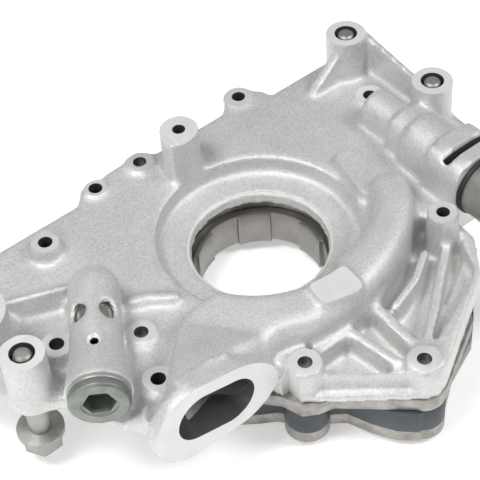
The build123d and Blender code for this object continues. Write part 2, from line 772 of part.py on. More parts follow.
def coil(plane, radius, length, turns, thickness):
    """A coil spring of square wire, standing on a plane."""
    with BuildLine(plane) as path:
        Helix(
            (length - thickness) / turns,
            length - thickness,
            radius,
            center=(0, 0, thickness / 2),
            direction=plane.z_dir,
        )
    start = path.line @ 0
    with BuildSketch(Plane(origin=start, z_dir=path.line % 0, x_dir=plane.z_dir)) as wire_face:
        Rectangle(thickness, thickness)
    return sweep(wire_face.sketch, path=path.line, is_frenet=True)


spring_plane = Plane(
    origin=(
        spring_start[0] + spring_dir[0] * arm_width / 2,
        spring_start[1] + spring_dir[1] * arm_width / 2,
        (body_top + body_bottom) / 2,
    ),
    x_dir=(0, 0, 1),
    z_dir=(*spring_dir, 0),
)

with BuildPart() as slide_spring:
    coil(spring_plane, spring_r, spring_length, spring_turns, wire)

slide_spring.part.label = "slide_spring"
export_step(slide_spring.part, "parts/slide_spring.step")


# Relief valve: plug, washer, piston and spring

with BuildPart() as relief_plug:
    with BuildSketch(relief_plane):
        Circle(plug_r)
    extrude(amount=plug_t)
    chamfer(relief_plug.faces().sort_by(Axis(relief_plane.origin, valve_dir))[0].edges(), plug_head_chamfer)
    with BuildSketch(relief_plane.offset(plug_t)):
        Circle(plug_thread_r)
    extrude(amount=washer_t + plug_thread)
    with BuildSketch(relief_plane):
        RegularPolygon(plug_hex / 2, 6, major_radius=False)
    extrude(amount=plug_hex_depth, mode=Mode.SUBTRACT)
    with BuildSketch(relief_plane):
        Circle(plug_mouth_r)
    extrude(amount=plug_mouth, mode=Mode.SUBTRACT)

relief_plug.part.label = "relief_plug"
export_step(relief_plug.part, "parts/relief_plug.step")

with BuildPart() as relief_washer:
    with BuildSketch(relief_plane.offset(plug_t)):
        Circle(washer_r)
        Circle(plug_thread_r + thread_gap, mode=Mode.SUBTRACT)
    extrude(amount=washer_t)

relief_washer.part.label = "relief_plug_washer"
export_step(relief_washer.part, "parts/relief_plug_washer.step")

piston_start = relief_bore_end - piston_length - piston_gap
with BuildPart() as relief_piston:
    with BuildSketch(relief_plane.offset(piston_start)):
        Circle(relief_bore_r - piston_gap)
    extrude(amount=piston_length)
    with BuildSketch(relief_plane.offset(piston_start)):
        Circle(relief_bore_r - piston_gap - piston_wall)
    extrude(amount=piston_length - 2 * piston_wall, mode=Mode.SUBTRACT)

relief_piston.part.label = "relief_piston"
export_step(relief_piston.part, "parts/relief_piston.step")

relief_spring_start = plug_t + washer_t + plug_thread
relief_spring_length = piston_start + piston_length - 2 * piston_wall - relief_spring_start
with BuildPart() as relief_spring:
    coil(
        relief_plane.offset(relief_spring_start),
        relief_spring_r,
        relief_spring_length,
        relief_turns,
        wire,
    )

relief_spring.part.label = "relief_spring"
export_step(relief_spring.part, "parts/relief_spring.step")


# Solenoid valve: sleeve, seals, spool, spring, clip, coil, can and connector

def valve_disc(y, radius):
    """A round face across the solenoid valve at a Y place, facing down the barrel."""
    with BuildSketch(solenoid_offset(y)) as face:
        Circle(radius)
    return face.sketch


collar_back = block_front - can_ring_t
o_groove_r = sleeve_r - 2 * o_ring_r - 0.1
with BuildPart() as solenoid_sleeve:
    extrude(valve_disc(sleeve_back, sleeve_r), amount=sleeve_back - collar_back)
    extrude(valve_disc(collar_back, coil_r), amount=collar_t)
    for y in seal_places:
        extrude(valve_disc(y + o_ring_r + 0.1, sleeve_r + 1), amount=2 * o_ring_r + 0.2, mode=Mode.SUBTRACT)
        extrude(valve_disc(y + o_ring_r + 0.2, o_groove_r), amount=2 * o_ring_r + 0.4)
    extrude(valve_disc(clip_at + clip_t / 2 + 0.1, sleeve_r + 1), amount=clip_t + 0.2, mode=Mode.SUBTRACT)
    extrude(valve_disc(clip_at + clip_t / 2 + 0.2, clip_groove_r), amount=clip_t + 0.4)
    extrude(
        valve_disc(sleeve_back + 1, spool_r + spool_gap),
        amount=sleeve_back - collar_back + collar_t + 2,
        mode=Mode.SUBTRACT,
    )

solenoid_sleeve.part.label = "solenoid_sleeve"
export_step(solenoid_sleeve.part, "parts/solenoid_sleeve.step")

with BuildPart() as solenoid_o_rings:
    for y in seal_places:
        ring_middle = sleeve_r - o_ring_r - 0.03
        with Locations(solenoid_offset(y).location):
            Torus(ring_middle, o_ring_r)

solenoid_o_rings.part.label = "solenoid_o_rings"
export_step(solenoid_o_rings.part, "parts/solenoid_o_rings.step")

plunger_front = collar_back - collar_t - spool_travel - 0.2
with BuildPart() as solenoid_spool:
    extrude(valve_disc(spool_front, spool_r), amount=spool_front - plunger_front)
    for land in (-8.0, -16.0):
        extrude(valve_disc(land, spool_r + 1), amount=4, mode=Mode.SUBTRACT)
        extrude(valve_disc(land + 0.1, spool_r - 1), amount=4.2)

solenoid_spool.part.label = "solenoid_spool"
export_step(solenoid_spool.part, "parts/solenoid_spool.step")

with BuildPart() as solenoid_plunger:
    extrude(valve_disc(plunger_front, plunger_r), amount=plunger_length)

solenoid_plunger.part.label = "solenoid_plunger"
export_step(solenoid_plunger.part, "parts/solenoid_plunger.step")

valve_spring_length = nose_end - 3 - spool_front
with BuildPart() as solenoid_spring:
    coil(
        solenoid_offset(nose_end - 3),
        valve_spring_r,
        valve_spring_length,
        valve_turns,
        valve_wire,
    )

solenoid_spring.part.label = "solenoid_spring"
export_step(solenoid_spring.part, "parts/solenoid_spring.step")

with BuildPart() as solenoid_clip:
    with BuildSketch(Plane.XZ.offset(-clip_at - clip_t / 2)):
        with Locations((solenoid_x, clip_top)):
            Rectangle(clip_w, clip_top - solenoid_z + 3, align=(Align.CENTER, Align.MAX))
        with Locations((solenoid_x, solenoid_z)):
            Circle(clip_groove_r + 0.05, mode=Mode.SUBTRACT)
            Rectangle(
                2 * clip_groove_r + 0.1, 10, align=(Align.CENTER, Align.MAX), mode=Mode.SUBTRACT
            )
    extrude(amount=clip_t)

solenoid_clip.part.label = "solenoid_clip"
export_step(solenoid_clip.part, "parts/solenoid_clip.step")

with BuildPart() as solenoid_seal_ring:
    extrude(valve_disc(block_front, can_ring_r), amount=can_ring_t)
    extrude(valve_disc(block_front, sleeve_r + sleeve_gap), amount=can_ring_t, mode=Mode.SUBTRACT)

solenoid_seal_ring.part.label = "solenoid_seal_ring"
export_step(solenoid_seal_ring.part, "parts/solenoid_seal_ring.step")

with BuildPart() as solenoid_can:
    extrude(valve_disc(collar_back, can_r), amount=can_length)
    extrude(valve_disc(collar_back, can_r - can_wall), amount=can_length - can_wall, mode=Mode.SUBTRACT)
    fillet(solenoid_can.faces().sort_by(Axis.Y)[0].edges(), 0.9)

solenoid_can.part.label = "solenoid_can"
export_step(solenoid_can.part, "parts/solenoid_can.step")

coil_front = collar_back - collar_t
with BuildPart() as solenoid_coil:
    extrude(valve_disc(coil_front, coil_r), amount=coil_length)
    extrude(valve_disc(coil_front, coil_hole_r), amount=coil_length, mode=Mode.SUBTRACT)

solenoid_coil.part.label = "solenoid_coil"
export_step(solenoid_coil.part, "parts/solenoid_coil.step")

can_end = collar_back - can_length
with BuildPart() as solenoid_connector:
    extrude(valve_disc(can_end, can_r - 3), amount=2)
    with BuildSketch(solenoid_offset(can_end - 2)):
        RectangleRounded(connector_w, connector_h, 3)
    extrude(amount=connector_l - 2)
    with BuildSketch(solenoid_offset(can_end - 5)):
        RectangleRounded(connector_w - 2 * connector_wall, connector_h - 2 * connector_wall, 1.5)
    extrude(amount=connector_l, mode=Mode.SUBTRACT)

solenoid_connector.part.label = "solenoid_connector"
export_step(solenoid_connector.part, "parts/solenoid_connector.step")

with BuildPart() as solenoid_terminals:
    for side in (-3.2, 3.2):
        with BuildSketch(solenoid_offset(can_end - 5)):
            with Locations((side, 0)):
                Rectangle(2.8, 0.8)
        extrude(amount=8)

solenoid_terminals.part.label = "solenoid_terminals"
export_step(solenoid_terminals.part, "parts/solenoid_terminals.step")


# Stack screws and dowels

head_socket = 5.0
with BuildPart() as stack_screws:
    for x, y in screw_places:
        extrude(disc(x, y, screw_head_r, cover_bottom), amount=-screw_head_t)
        extrude(disc(x, y, screw_r, cover_bottom), amount=screw_reach - cover_bottom)
    with BuildSketch(Plane.XY.offset(cover_bottom - screw_head_t)):
        with Locations(*screw_places):
            RegularPolygon(head_socket / 2, 6, major_radius=False)
    extrude(amount=screw_head_t - 0.5, mode=Mode.SUBTRACT)

stack_screws.part.label = "stack_screws"
export_step(stack_screws.part, "parts/stack_screws.step")

with BuildPart() as dowel_pins:
    for x, y in dowel_places:
        extrude(disc(x, y, dowel_r, -dowel_half), amount=2 * dowel_half)

dowel_pins.part.label = "dowel_pins"
export_step(dowel_pins.part, "parts/dowel_pins.step")


# Mounting bolts, standing loose in their bosses with the head below

for number, (x, y) in enumerate(bolt_places):
    with BuildPart() as bolt:
        extrude(disc(x, y, bolt_r, -bolt_grip), amount=bolt_grip + block_face - bolt_point)
        chamfer(bolt.faces().sort_by(Axis.Z)[-1].edges(), bolt_r - bolt_point_r - 0.1)
        extrude(disc(x, y, bolt_point_r, 0), amount=block_face)
        chamfer(bolt.faces().sort_by(Axis.Z)[-1].edges(), 0.8)
        extrude(disc(x, y, bolt_flange_r, -bolt_grip), amount=-bolt_flange_t)
        with BuildSketch(Plane.XY.offset(-bolt_grip - bolt_head)):
            with Locations((x, y)):
                RegularPolygon(bolt_hex / 2, 6, major_radius=False)
        extrude(amount=bolt_head - bolt_flange_t)
    bolt.part.label = "mounting_bolt_" + str(number + 1)
    export_step(bolt.part, "parts/mounting_bolt_" + str(number + 1) + ".step")
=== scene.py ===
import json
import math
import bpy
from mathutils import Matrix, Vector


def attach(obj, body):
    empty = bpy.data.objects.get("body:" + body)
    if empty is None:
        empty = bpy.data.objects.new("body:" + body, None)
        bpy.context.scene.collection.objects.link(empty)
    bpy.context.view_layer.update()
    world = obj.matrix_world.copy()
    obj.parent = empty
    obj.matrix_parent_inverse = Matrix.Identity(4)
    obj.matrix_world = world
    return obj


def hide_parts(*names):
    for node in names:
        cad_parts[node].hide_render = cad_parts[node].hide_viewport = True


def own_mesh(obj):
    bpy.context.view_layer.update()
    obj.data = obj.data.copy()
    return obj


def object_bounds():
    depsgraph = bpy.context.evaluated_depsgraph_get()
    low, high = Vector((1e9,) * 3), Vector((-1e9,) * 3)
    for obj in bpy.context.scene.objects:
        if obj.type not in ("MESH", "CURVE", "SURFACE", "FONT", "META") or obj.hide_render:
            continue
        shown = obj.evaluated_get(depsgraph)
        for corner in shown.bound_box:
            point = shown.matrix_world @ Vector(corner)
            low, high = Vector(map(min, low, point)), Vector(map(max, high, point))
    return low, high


bl_info = {
    "name": "Engine Oil Pump",
    "version": (1, 0, 0),
    "blender": (4, 5, 0),
    "location": "View3D > Sidebar > Oil Pump",
    "description": "Dresses a crank-driven oil pump: its casting, plates, rotor, valves and bolts",
    "category": "Object",
}

from collections import namedtuple

import bmesh
import bpy
from mathutils import Matrix, Vector

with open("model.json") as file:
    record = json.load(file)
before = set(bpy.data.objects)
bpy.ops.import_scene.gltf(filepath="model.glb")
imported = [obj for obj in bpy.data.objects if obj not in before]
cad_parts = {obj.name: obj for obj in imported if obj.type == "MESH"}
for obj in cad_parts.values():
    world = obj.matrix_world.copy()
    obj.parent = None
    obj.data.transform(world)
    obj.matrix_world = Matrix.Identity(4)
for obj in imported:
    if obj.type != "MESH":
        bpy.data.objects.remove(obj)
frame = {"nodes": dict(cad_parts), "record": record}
cad_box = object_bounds()

# Places and sizes are in millimetres, and MM turns them into metres
MM = 0.001
UP = Vector((0, 0, 1))

Boss = namedtuple("Boss", "x y top face_r hole_r floor")
BOSSES = [
    Boss(83.3, 45.4, 31.0, 8.0, 4.5, -1.0),
    Boss(88.7, 1.8, 31.0, 8.0, 4.5, -1.0),
    Boss(-104.4, -5.0, 31.0, 8.0, 4.5, -1.0),
    Boss(0.0, 46.0, 31.0, 7.5, 2.5, 12.0),
    Boss(-109.0, 23.0, 31.0, 14.0, 8.0, 2.0),
    Boss(49.4, -45.1, 22.0, 5.9, 2.5, -1.0),
    Boss(2.9, -84.6, 13.4, 6.3, 2.6, -1.0),
    Boss(-28.2, -59.0, 13.4, 6.3, 2.6, -1.0),
    Boss(-62.3, -11.6, 14.0, 5.6, 2.6, -1.0),
    Boss(-12.2, 57.2, 14.0, 5.6, 2.6, -1.0),
    Boss(-65.0, 43.0, 18.0, 5.7, 2.7, 4.0),
    Boss(-32.9, 57.7, 13.2, 4.8, 2.7, 2.0),
    Boss(40.0, 61.4, 13.2, 6.3, 2.7, 2.0),
    Boss(79.0, 26.5, 13.4, 6.0, 2.7, 2.0),
    Boss(-70.1, -31.9, 14.0, 5.8, 2.7, 2.0),
    Boss(-88.9, 0.6, 18.0, 6.2, 2.7, 2.0),
]
WING_BOSS = BOSSES[2]
FOOT_BOSSES = BOSSES[6:8]
LEFT_BOSS = BOSSES[10]
WIDE_FACE = 7  # Faces with a larger radius than this are milled to their edge

# The inlet passage beside the crank opening, its wall from foot to top, and the oval flange
CRANK_R = 25.6
PASSAGE_FOOT, PASSAGE_TOP = 3.4, 19.5
NECK = [(-45.9, -18.7), (-56.6, -25.9), (-66.0, -34.9), (-74.7, -44.0), (-79.5, -48.9)]
SHOULDER = [
    (-57, -27),
    (-52.5, -23),
    (-47.5, -20.8),
    (-40, -20.2),
    (-32, -20),
    (-26, -20.5),
    (-20, -31),
]
PAD = [
    (-9.9, -40.7),
    (2.2, -42),
    (3.7, -43.6),
    (3.4, -53.2),
    (0.9, -55),
    (-11.2, -51.8),
    (-12.6, -49.8),
]
FLANGE_AT = Vector((-64, -58.5, 17.2))
MOUTH_AT = (-64.3, -58.5, 16.8)
MOUTH_TILT = math.radians(13)
MOUTH_STRETCH = 6.2

# The rim at the lower right, and the edge of the housing's foot
RIM_POCKET = [
    (46.8, -54.6),
    (49.6, -56),
    (45.4, -65.6),
    (41, -69),
    (14.5, -80.2),
    (11.6, -79),
]
FOOT_EDGE = [(-35.0, -62.1), (-2.6, -89.2)]
FOOT_SIDE = (0.64, 0.77)

# The two valves: where each starts, and how the relief valve is turned
RELIEF_AT = Vector((-94.3, -33.5, 22.0))
RELIEF_TURN = math.radians(57)
RELIEF_WINDOWS = 35
RELIEF_VENT = 20.6
SOLENOID_AT = Vector((72.5, 17.0, 18.5))

# The slide ring's pivot, and from it the place and direction of its spring
PIVOT = Vector((35.849, 31.163, -11.2))
ARM_REST = math.radians(224.861)
SPRING_OUT = 47.5 + 46.35 + 4.2 + 0.6 + 1.6
SPRING_TURN = ARM_REST - math.pi / 2
SPRING_WAY = Vector((math.cos(SPRING_TURN), math.sin(SPRING_TURN), 0))
SPRING_AT = PIVOT + Vector((math.cos(ARM_REST), math.sin(ARM_REST), 0)) * SPRING_OUT
SPRING_AT += SPRING_WAY * 3.5
SPRING_LENGTH = 20.0
STEPS_PER_TURN = 24

# Lights: name, place and size in metres, power in watts
LIGHTS = [
    ("right_front", (0.44, -0.50, 0.74), 0.28, 4.5),
    ("overhead", (-0.36, 0.06, 0.78), 0.30, 4.6),
    ("left_front", (-0.85, -0.20, 0.40), 0.35, 1.4),
]
CAMERA_AT = Vector((-231.57, -312.26, 422.01))
CAMERA_RIGHT = Vector((0.77607, -0.62807, -0.05688))
CAMERA_DOWN = Vector((-0.48982, -0.54351, -0.68167))
CAMERA_AHEAD = Vector((0.39722, 0.55689, -0.72945))


class PumpSizes(bpy.types.PropertyGroup):
    """Sizes that a user would change."""

    cast_detail: bpy.props.FloatProperty(
        name="Cast detail",
        description="Smallest form kept on the casting's rough skin",
        default=0.0010,
        min=0.0006,
        max=0.003,
        unit="LENGTH",
    )
    cast_softness: bpy.props.IntProperty(
        name="Cast softness",
        description="How far the casting's edges and corners are rounded",
        default=4,
        min=0,
        max=20,
    )
    edge_ease: bpy.props.FloatProperty(
        name="Edge ease",
        description="Width of the broken edge on machined parts",
        default=0.00025,
        min=0.00005,
        max=0.001,
        unit="LENGTH",
    )
    wire_sides: bpy.props.IntProperty(
        name="Wire sides",
        description="Sides of a spring's round wire",
        default=10,
        min=6,
        max=24,
    )


class PumpColours(bpy.types.PropertyGroup):
    """Colours that a user would change."""

    casting: bpy.props.FloatVectorProperty(
        name="Casting",
        description="Skin of the aluminium casting",
        subtype="COLOR",
        size=3,
        default=(0.70, 0.70, 0.69),
    )
    cut_face: bpy.props.FloatVectorProperty(
        name="Cut face",
        description="Aluminium where it was machined",
        subtype="COLOR",
        size=3,
        default=(0.78, 0.78, 0.775),
    )
    body_steel: bpy.props.FloatVectorProperty(
        name="Pump body",
        description="Dark blue-grey side of the pump body",
        subtype="COLOR",
        size=3,
        default=(0.070, 0.078, 0.085),
    )
    plate_steel: bpy.props.FloatVectorProperty(
        name="Plates",
        description="Warm grey of the two stack plates",
        subtype="COLOR",
        size=3,
        default=(0.33, 0.313, 0.295),
    )
    zinc: bpy.props.FloatVectorProperty(
        name="Zinc",
        description="Dull zinc coat on bolts and screws",
        subtype="COLOR",
        size=3,
        default=(0.40, 0.41, 0.385),
    )


def shader_of(name):
    """A new material, its node tree and its main shader."""
    mat = bpy.data.materials.new(name)
    mat.use_nodes = True
    return mat, mat.node_tree, mat.node_tree.nodes["Principled BSDF"]


def noise(tree, scale, detail=3.0, roughness=0.5, stretch=None):
    """A noise texture on the piece's own place, in metres."""
    place = tree.nodes.new("ShaderNodeTexCoord")
    tex = tree.nodes.new("ShaderNodeTexNoise")
    tex.inputs["Scale"].default_value = scale
    tex.inputs["Detail"].default_value = detail
    tex.inputs["Roughness"].default_value = roughness
    if stretch:
        warp = tree.nodes.new("ShaderNodeMapping")
        warp.inputs["Scale"].default_value = stretch
        tree.links.new(place.outputs["Object"], warp.inputs["Vector"])
        tree.links.new(warp.outputs["Vector"], tex.inputs["Vector"])
    else:
        tree.links.new(place.outputs["Object"], tex.inputs["Vector"])
    return tex


def ramp(tree, source, stops):
    """A colour ramp on a source, with (place, colour) stops."""
    node = tree.nodes.new("ShaderNodeValToRGB")
    band = node.color_ramp
    while len(band.elements) < len(stops):
        band.elements.new(0.5)
    for element, (at, colour) in zip(band.elements, stops):
        element.position = at
        element.color = (*colour, 1)
    tree.links.new(source, node.inputs["Fac"])
    return node


def shade(colour, share):
    """A colour made lighter or darker."""
    return tuple(min(1.0, c * share) for c in colour)


def patchy(tree, patches, colour, dark, light):
    """A colour that follows a noise: each of dark and light is a (place, share) pair."""
    stops = [(at, shade(colour, share)) for at, share in (dark, light)]
    return ramp(tree, patches.outputs["Fac"], stops).outputs["Color"]


def bump(tree, shader, sources):
    """Bumps laid over each other: (source, strength, depth in metres)."""
    last = None
    for source, strength, depth in sources:
        node = tree.nodes.new("ShaderNodeBump")
        node.inputs["Strength"].default_value = strength
        node.inputs["Distance"].default_value = depth
        tree.links.new(source, node.inputs["Height"])
        if last:
            tree.links.new(last.outputs["Normal"], node.inputs["Normal"])
        last = node
    tree.links.new(last.outputs["Normal"], shader.inputs["Normal"])


def rough_between(tree, shader, source, low, high):
    """Roughness that follows a source, between two values."""
    node = tree.nodes.new("ShaderNodeMapRange")
    node.inputs["To Min"].default_value = low
    node.inputs["To Max"].default_value = high
    tree.links.new(source, node.inputs["Value"])
    tree.links.new(node.outputs["Result"], shader.inputs["Roughness"])


def metal(name, colour, metallic, rough, grain, blotch=(70.0, 0.08)):
    """A metal finish: rough is (low, high), grain (scale, depth) and blotch (scale, spread)."""
    mat, tree, shader = shader_of(name)
    patches = noise(tree, blotch[0], 4.0, 0.6)
    tint = patchy(tree, patches, colour, (0.30, 1 - blotch[1]), (0.70, 1 + blotch[1]))
    tree.links.new(tint, shader.inputs["Base Color"])
    shader.inputs["Metallic"].default_value = metallic
    fine = noise(tree, grain[0], 4.0, 0.6)
    rough_between(tree, shader, fine.outputs["Fac"], *rough)
    bump(tree, shader, [(fine.outputs["Fac"], 0.6, grain[1])])
    return mat


def cast_skin(colour):
    """Blasted cast aluminium: bright, matt, with a fine pebbled grain."""
    mat, tree, shader = shader_of("cast_aluminium_skin")
    patches = noise(tree, 45.0, 5.0, 0.6)
    tint = patchy(tree, patches, colour, (0.28, 0.92), (0.72, 1.06))
    pebble = noise(tree, 1100.0, 4.0, 0.65)
    pits = [(0.36, (0.76, 0.76, 0.76)), (0.60, (1.0, 1.0, 1.0))]
    grain = ramp(tree, pebble.outputs["Fac"], pits)
    both = tree.nodes.new("ShaderNodeMix")
    both.data_type = "RGBA"
    both.blend_type = "MULTIPLY"
    both.inputs["Factor"].default_value = 0.75
    tree.links.new(tint, both.inputs["A"])
    tree.links.new(grain.outputs["Color"], both.inputs["B"])
    tree.links.new(both.outputs["Result"], shader.inputs["Base Color"])
    shader.inputs["Metallic"].default_value = 0.55
    wave = noise(tree, 160.0, 3.0, 0.5)
    rough_between(tree, shader, pebble.outputs["Fac"], 0.42, 0.64)
    waves = (wave.outputs["Fac"], 0.4, 0.0003)
    pebbles = (pebble.outputs["Fac"], 0.9, 0.00022)
    bump(tree, shader, [waves, pebbles])
    return mat


def milled_face(colour):
    """Machined aluminium: smooth, bright, with faint cutter marks."""
    mat, tree, shader = shader_of("machined_aluminium")
    patches = noise(tree, 120.0, 3.0, 0.5)
    tint = patchy(tree, patches, colour, (0.3, 0.95), (0.7, 1.04))
    tree.links.new(tint, shader.inputs["Base Color"])
    shader.inputs["Metallic"].default_value = 0.4
    marks = noise(tree, 600.0, 2.0, 0.5, stretch=(1.0, 0.08, 1.0))
    rough_between(tree, shader, marks.outputs["Fac"], 0.38, 0.52)
    bump(tree, shader, [(marks.outputs["Fac"], 0.25, 0.00003)])
    return mat


def moulded_plastic(name, colour, rough=(0.42, 0.55)):
    """Moulded plastic or rubber with a light grain."""
    mat, tree, shader = shader_of(name)
    patches = noise(tree, 300.0, 3.0, 0.5)
    tint = patchy(tree, patches, colour, (0.3, 0.85), (0.7, 1.15))
    tree.links.new(tint, shader.inputs["Base Color"])
    fine = noise(tree, 1800.0, 2.0, 0.5)
    rough_between(tree, shader, fine.outputs["Fac"], *rough)
    bump(tree, shader, [(fine.outputs["Fac"], 0.3, 0.00003)])
    return mat


# What metal() takes for each slot. The first table names a colour that a user can change
TINTED_METALS = {
    "machined_aluminium": (
        "plate", "plate_steel", 0.8, (0.34, 0.52), (900.0, 0.00006), (190.0, 0.30),
    ),
    "dark_steel": ("body", "body_steel", 0.75, (0.38, 0.55), (1300.0, 0.00006), (80.0, 0.18)),
    "zinc_steel": ("zinc", "zinc", 0.85, (0.40, 0.58), (1100.0, 0.00006), (150.0, 0.16)),
}
METALS = {
    "washer_aluminium": ("washer", (0.46, 0.48, 0.46), 0.85, (0.38, 0.55), (900.0, 0.00005)),
    "sintered_steel": (
        "sintered", (0.30, 0.29, 0.275), 0.9, (0.32, 0.48), (1400.0, 0.00005), (90.0, 0.12),
    ),
    "bright_steel": ("ground", (0.58, 0.575, 0.56), 1.0, (0.18, 0.30), (1500.0, 0.00002)),
    "spring_steel": ("wire", (0.30, 0.30, 0.31), 0.95, (0.25, 0.38), (900.0, 0.00002)),
    "terminal_brass": ("brass", (0.72, 0.56, 0.28), 1.0, (0.22, 0.34), (900.0, 0.00002)),
}
PLASTICS = {
    "black_plastic": ("plastic", (0.022, 0.022, 0.024)),
    "black_rubber": ("rubber", (0.015, 0.015, 0.015), (0.5, 0.68)),
    "coil_brown": ("winding", (0.20, 0.07, 0.025), (0.3, 0.5)),
}


def finish_named(slot):
    """The material for one of the record's slots, made once."""
    made = bpy.data.materials.get("finish_" + slot)
    if made:
        return made
    tints = bpy.context.scene.pump_colours
    if slot == "cast_aluminium":
        made = cast_skin(tints.casting)
    elif slot in PLASTICS:
        made = moulded_plastic(*PLASTICS[slot])
    elif slot in TINTED_METALS:
        name, colour, *rest = TINTED_METALS[slot]
        made = metal(name, getattr(tints, colour), *rest)
    else:
        made = metal(*METALS[slot])
    made.name = "finish_" + slot
    return made


def put(name, bm, materials, body, nodes=()):
    """Makes an object of a bmesh, rides it on its body and hides the nodes it stands for."""
    mesh = bpy.data.meshes.new(name)
    bm.to_mesh(mesh)
    bm.free()
    for material in materials:
        mesh.materials.append(material)
    piece = bpy.data.objects.new(name, mesh)
    bpy.context.scene.collection.objects.link(piece)
    mesh.shade_smooth()
    mesh.set_sharp_from_angle(angle=math.radians(32))
    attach(piece, body)
    if nodes:
        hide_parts(*nodes)
    return piece


def node_slot(node):
    """The material slot that the record gives a node."""
    for part in frame["record"]["subparts"]:
        if part["node"] == node:
            return part["material_slot"]
    raise KeyError(node)


def node_body(node):
    """The body that carries a node."""
    for body, nodes in frame["record"]["behaviour"]["bodies"].items():
        if node in nodes:
            return body
    raise KeyError(node)


def merged_copy(node):
    """A node's mesh as one closed bmesh, with its loose triangles joined."""
    bm = bmesh.new()
    bm.from_mesh(frame["nodes"][node].data)
    bmesh.ops.remove_doubles(bm, verts=bm.verts, dist=2e-6)
    return bm


def eased(node, width, segments=2):
    """A node with its sharp edges broken, as a deburred part has them."""
    bm = merged_copy(node)
    bmesh.ops.dissolve_limit(
        bm,
        angle_limit=math.radians(0.6),
        verts=bm.verts,
        edges=bm.edges,
        use_dissolve_boundaries=False,
    )
    sharp = [
        edge
        for edge in bm.edges
        if len(edge.link_faces) == 2 and edge.calc_face_angle(0.0) > math.radians(35)
    ]
    bmesh.ops.bevel(
        bm,
        geom=sharp,
        offset=width,
        offset_type="OFFSET",
        affect="EDGES",
        segments=segments,
        profile=0.5,
        clamp_overlap=True,
        material=-1,
    )
    slot = node_slot(node)
    return put(node + "_eased", bm, [finish_named(slot)], node_body(node), [node])


def cylinder(bm, base, way, radius, length, segments=48, end_radius=None):
    """A closed cylinder or cone in a bmesh, from a base point along a direction."""
    way = Vector(way).normalized()
    turn = way.to_track_quat("Z", "Y").to_matrix().to_4x4()
    middle = Matrix.Translation((Vector(base) + way * length / 2) * MM)
    return bmesh.ops.create_cone(
        bm,
        cap_ends=True,
        segments=segments,
        radius1=radius * MM,
        radius2=(radius if end_radius is None else end_radius) * MM,
        depth=length * MM,
        matrix=middle @ turn,
    )["verts"]


def block(bm, centre, size):
    """A closed box in a bmesh."""
    place = Matrix.Translation(Vector(centre) * MM)
    stretch = Matrix.Diagonal((*[s * MM for s in size], 1.0))
    bmesh.ops.create_cube(bm, size=1.0, matrix=place @ stretch)


def prism(bm, points, low, high):
    """A closed upright prism on an outline."""
    face = bm.faces.new([bm.verts.new((x * MM, y * MM, low * MM)) for x, y in points])
    raised = bmesh.ops.extrude_face_region(bm, geom=[face])["geom"]
    verts = [v for v in raised if isinstance(v, bmesh.types.BMVert)]
    bmesh.ops.translate(bm, vec=(0, 0, (high - low) * MM), verts=verts)
    bmesh.ops.recalc_face_normals(bm, faces=bm.faces)


def oval(bm, centre, width, height, depth, way):
    """A closed prism with round ends, long along X, its depth along a direction."""
    verts = cylinder(bm, Vector(centre), way, height / 2, depth, 64)
    reach = (width - height) / 2 * MM
    for v in verts:
        v.co.x += reach if v.co.x > centre[0] * MM else -reach


def new_form(make, *sizes):
    """A new bmesh that holds one closed form."""
    bm = bmesh.new()
    make(bm, *sizes)
    return bm


def band(line, near, far, side=(-0.70, 0.71)):
    """An outline along a line, between two distances to one side of it."""
    side = Vector(side)
    first = [Vector(p) + side * near for p in line]
    return first + [Vector(p) + side * far for p in reversed(line)]


def between(line, start, end):
    """A part of a straight line, from one share of its length to another."""
    one, two = (Vector(p) for p in line)
    return [one.lerp(two, start), one.lerp(two, end)]


def tool_object(name, bm, material=None):
    """A cutter or a blank, kept out of the scene's collection."""
    mesh = bpy.data.meshes.new(name)
    bm.to_mesh(mesh)
    bm.free()
    if material:
        mesh.materials.append(material)
    return bpy.data.objects.new(name, mesh)


def baked(piece):
    """The mesh that a piece's modifiers make."""
    bpy.context.view_layer.update()
    graph = bpy.context.evaluated_depsgraph_get()
    return bpy.data.meshes.new_from_object(piece.evaluated_get(graph))


def cut(piece, cutters):
    """Cuts a piece by closed cutters, one after another, keeping each cutter's material."""
    for cutter in cutters:
        bpy.context.scene.collection.objects.link(cutter)
        knife = piece.modifiers.new("cut", "BOOLEAN")
        knife.operation = "DIFFERENCE"
        knife.solver = "MANIFOLD"
        knife.object = cutter
    mesh = baked(piece)
    piece.modifiers.clear()
    piece.data = mesh
    for cutter in cutters:
        bpy.data.objects.remove(cutter)


def valve_way():
    """Unit direction along the relief valve, from its plug."""
    return Vector((math.cos(RELIEF_TURN), math.sin(RELIEF_TURN), 0))


